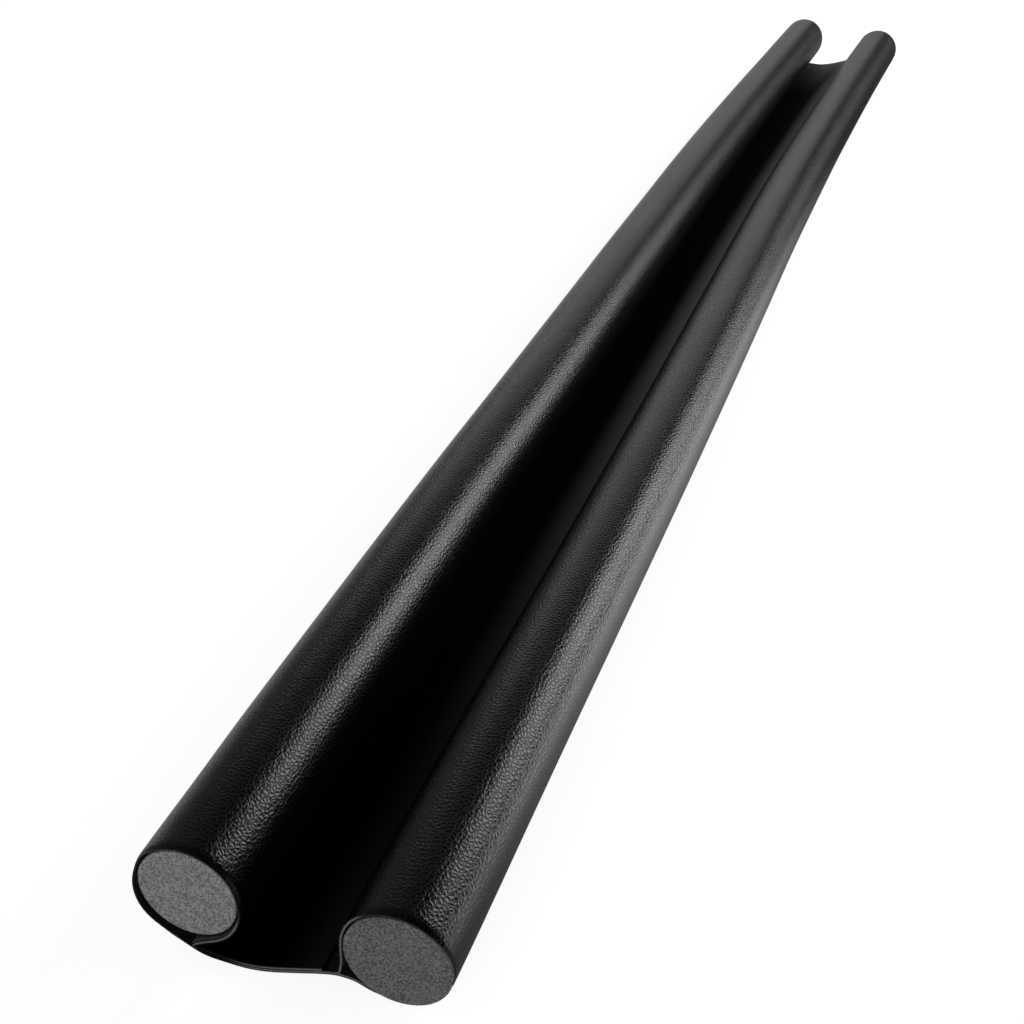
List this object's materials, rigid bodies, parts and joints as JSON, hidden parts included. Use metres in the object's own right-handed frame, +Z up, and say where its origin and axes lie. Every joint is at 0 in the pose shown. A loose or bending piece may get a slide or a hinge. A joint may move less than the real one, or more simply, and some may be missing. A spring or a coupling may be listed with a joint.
{
  "type": "twin door draught stopper",
  "caption": "Twin draught stopper for the bottom of a door: a folded cloth cover with a foam rod in each sleeve and a flat web between.",
  "frame": {"origin": "middle of the bounding box, at the level of the surface it lies on", "axes": "+Y along the stopper from its near cut ends to its far ones, +X from the high sleeve to the low sleeve, +Z up"},
  "size_m": [0.103, 1.002, 0.0405],
  "materials": {
    "coated_cloth": "black, pebbled grain, semi-gloss",
    "foam": "grey closed-cell foam, fine cells"
  },
  "bodies": {
    "root": {"cover": "coated_cloth", "foam_rod_left": "foam", "foam_rod_right": "foam"}
  },
  "joints": []
}
